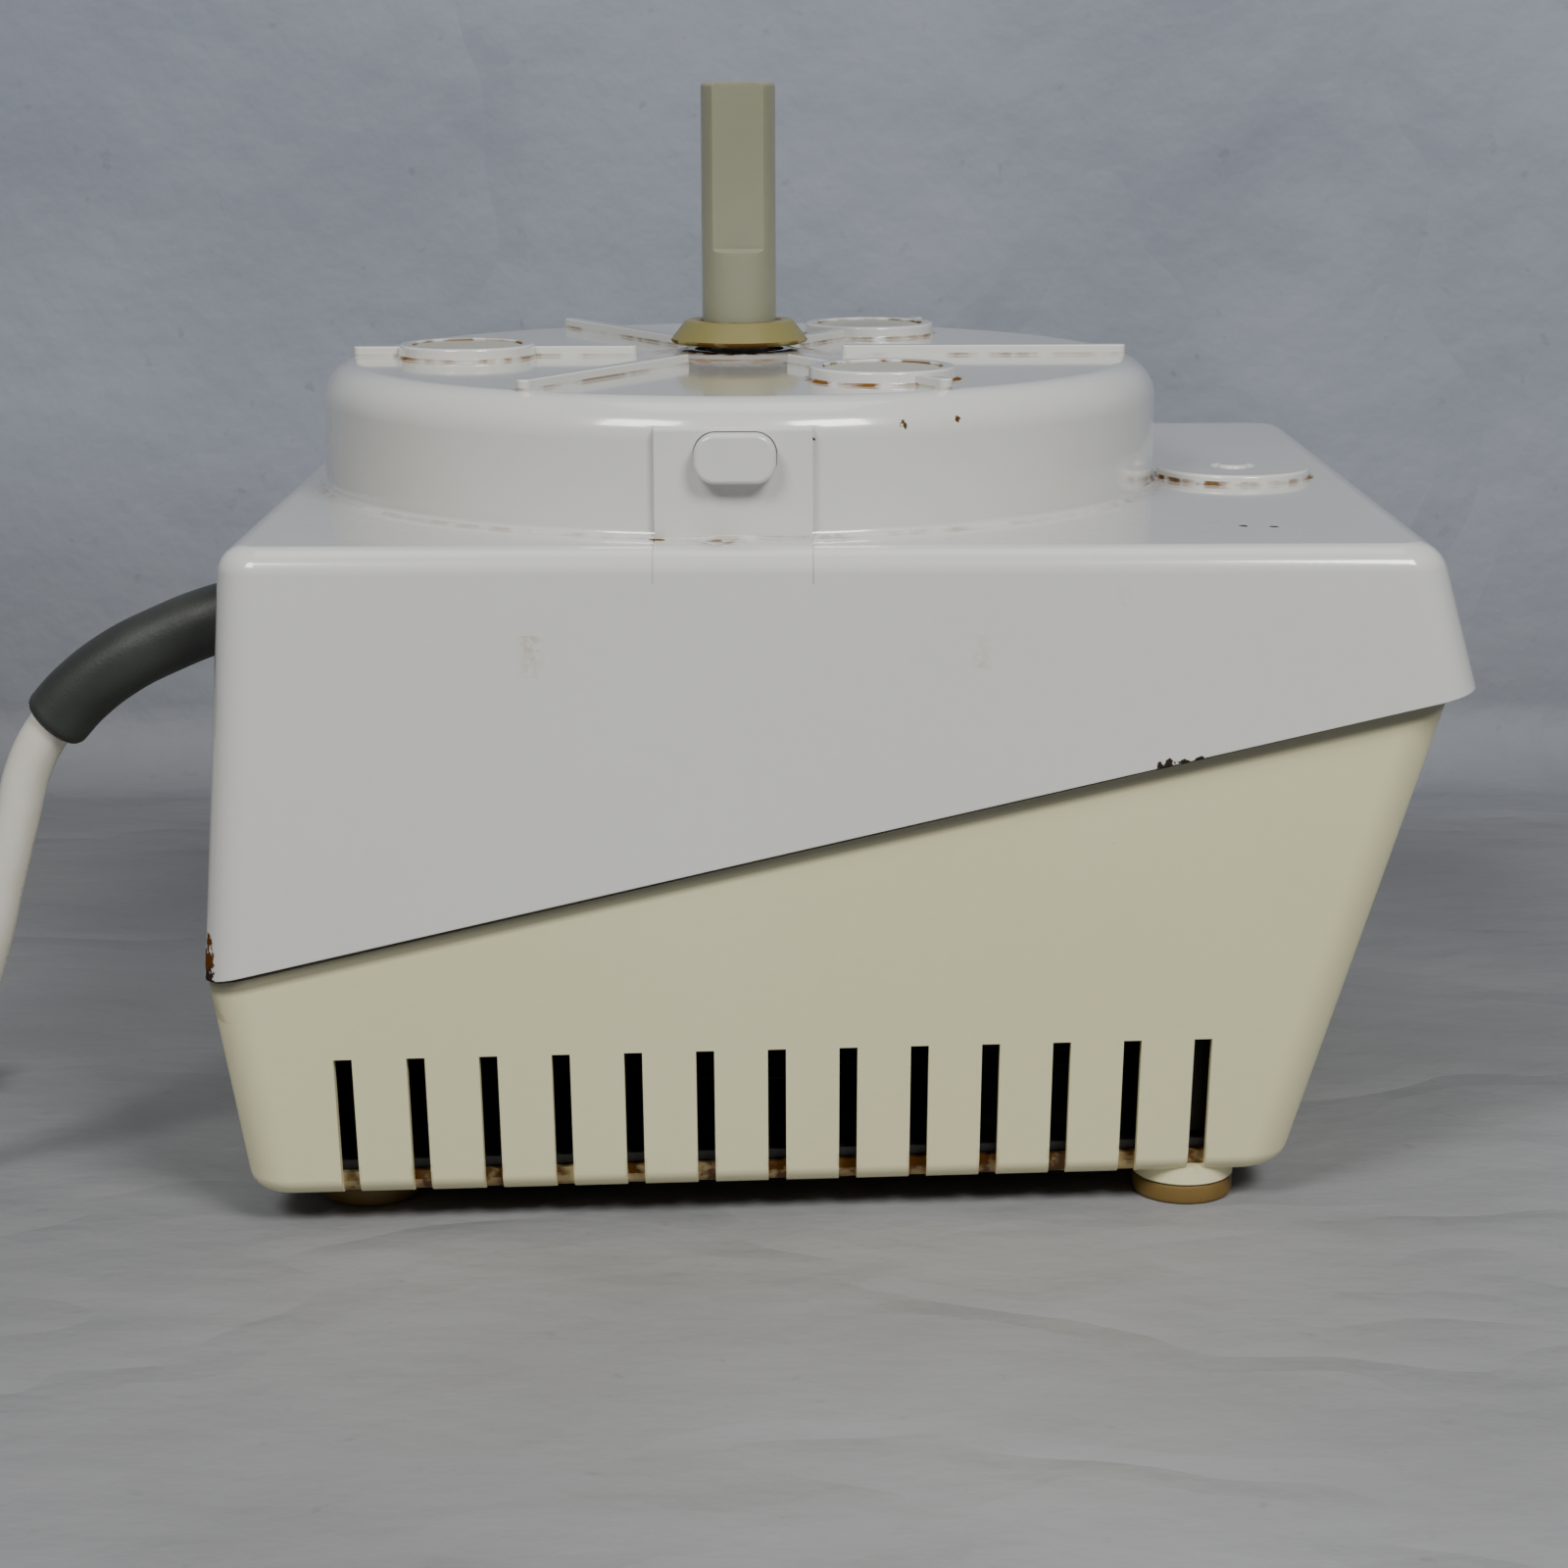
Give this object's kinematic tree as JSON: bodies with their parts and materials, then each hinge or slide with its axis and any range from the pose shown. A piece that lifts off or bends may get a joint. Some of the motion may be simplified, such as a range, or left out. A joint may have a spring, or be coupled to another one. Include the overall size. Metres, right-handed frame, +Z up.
{
  "type": "food processor motor base",
  "caption": "Motor base of a food processor: wedge-split plastic housing, round ribbed bowl seat with a D-shaped drive shaft, sprung safety button, vent slots, feet and a corded plug.",
  "frame": {"origin": "middle of the housing's footprint, on the floor under the feet", "axes": "+X to the right along the length, away from the cord; +Y to the back, away from the safety button; +Z up along the drive shaft"},
  "size_m": [0.4403, 0.2136, 0.2209],
  "materials": {
    "white_gloss": "moulded gloss, yellowed and scratched",
    "cream_satin": "moulded satin",
    "greige_matte": "moulded matte",
    "nylon": "translucent nylon, worn",
    "collar_yellow": "aged soft plastic",
    "brown_rubber": "aged rubber",
    "grey_rubber": "matte rubber",
    "cord_white": "glossy vinyl",
    "black_plastic": "moulded",
    "blue_plastic": "moulded",
    "steel": "plated",
    "aluminium": "die cast",
    "lamination": "stacked steel sheet",
    "brass": "plain",
    "copper": "varnished copper wire"
  },
  "bodies": {
    "housing": {"upper_housing": "white_gloss", "lower_housing": "cream_satin", "bottom_plate": "black_plastic", "side_cap": "white_gloss", "side_cap_plug": "white_gloss", "button_spring": "steel", "switch_bracket": "steel", "safety_switch": "black_plastic", "motor_upper_case": "aluminium", "motor_lower_case": "aluminium", "stator_core": "lamination", "upper_winding": "copper", "lower_winding": "copper", "upper_bearing": "steel", "lower_bearing": "steel", "shaft_seal": "brown_rubber", "capacitor": "blue_plastic", "capacitor_clip": "steel", "terminal_block": "greige_matte", "supply_lead": "brown_rubber", "switch_lead": "blue_plastic", "strain_relief": "grey_rubber", "power_cord": "cord_white", "cord_coil": "cord_white", "coil_tie": "black_plastic", "cord_tail": "cord_white", "plug_body": "cord_white", "plug_pin_1": "brass", "plug_pin_2": "brass", "rubber_foot_1": "brown_rubber", "foot_screw_1": "steel", "motor_bolt_1": "steel", "rubber_foot_2": "brown_rubber", "foot_screw_2": "steel", "motor_bolt_2": "steel", "rubber_foot_3": "brown_rubber", "foot_screw_3": "steel", "motor_bolt_3": "steel", "rubber_foot_4": "brown_rubber", "foot_screw_4": "steel", "motor_bolt_4": "steel", "motor_screw_1": "steel", "screw_cover_1": "greige_matte", "motor_screw_2": "steel", "screw_cover_2": "greige_matte", "motor_screw_3": "steel", "screw_cover_3": "greige_matte", "bracket_screw_1": "steel", "bracket_screw_2": "steel"},
    "spindle": {"motor_shaft": "steel", "rotor_core": "lamination", "cooling_fan": "black_plastic", "shaft_collar": "collar_yellow", "drive_sleeve": "nylon"},
    "button": {"interlock_button": "white_gloss"},
    "pin": {"switch_pin": "brass"}
  },
  "joints": [
    {"name": "spindle_spin", "type": "hinge", "parent": "housing", "child": "spindle", "pos_m": [-0.01925, 0, 0.1], "axis": [0, 0, 1], "continuous": true},
    {"name": "button_press", "type": "slide", "parent": "housing", "child": "button", "axis": [0, 1, 0], "range_m": [0, 0.0025], "stiffness_N_per_m": 400, "springref_m": -0.003, "deforming": ["button_spring"]},
    {"name": "switch_pin_press", "type": "slide", "parent": "housing", "child": "pin", "axis": [0, 1, 0], "range_m": [0, 0.0025]}
  ],
  "couplings": [
    {"joint": "switch_pin_press", "follows": "button_press", "ratio": 1}
  ]
}
